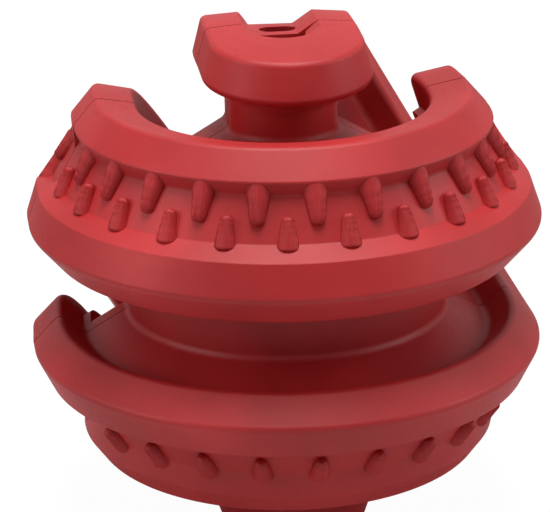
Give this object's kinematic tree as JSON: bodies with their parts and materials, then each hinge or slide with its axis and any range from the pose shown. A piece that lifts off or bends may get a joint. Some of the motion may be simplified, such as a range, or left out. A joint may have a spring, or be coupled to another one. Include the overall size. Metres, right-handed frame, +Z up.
{
  "type": "treat dispensing ball",
  "caption": "Round dog toy of soft rubber in halves that twist on a hidden axle, with curved rims, deep grooves, studded channels and small mouths that let treats out of the hollow core.",
  "frame": {"origin": "centre of the ball, on the axle, in the plane where the halves meet", "axes": "+Y along the axle, away from the front half; +Z up, through the front half's upper pole cap; +X to the right seen from the front"},
  "size_m": [0.098, 0.102, 0.0992],
  "materials": {
    "red_rubber": "satin",
    "charcoal_plastic": "matte",
    "spring_steel": "satin"
  },
  "bodies": {
    "front_half": {"front_shell": "red_rubber", "socket_post": "charcoal_plastic"},
    "back_half": {"back_shell": "red_rubber", "pin_post": "charcoal_plastic", "snap_ring": "spring_steel"}
  },
  "joints": [
    {"name": "half_twist", "type": "hinge", "parent": "front_half", "child": "back_half", "pos_m": [0, 0, 0], "axis": [0, 1, 0], "continuous": true}
  ]
}
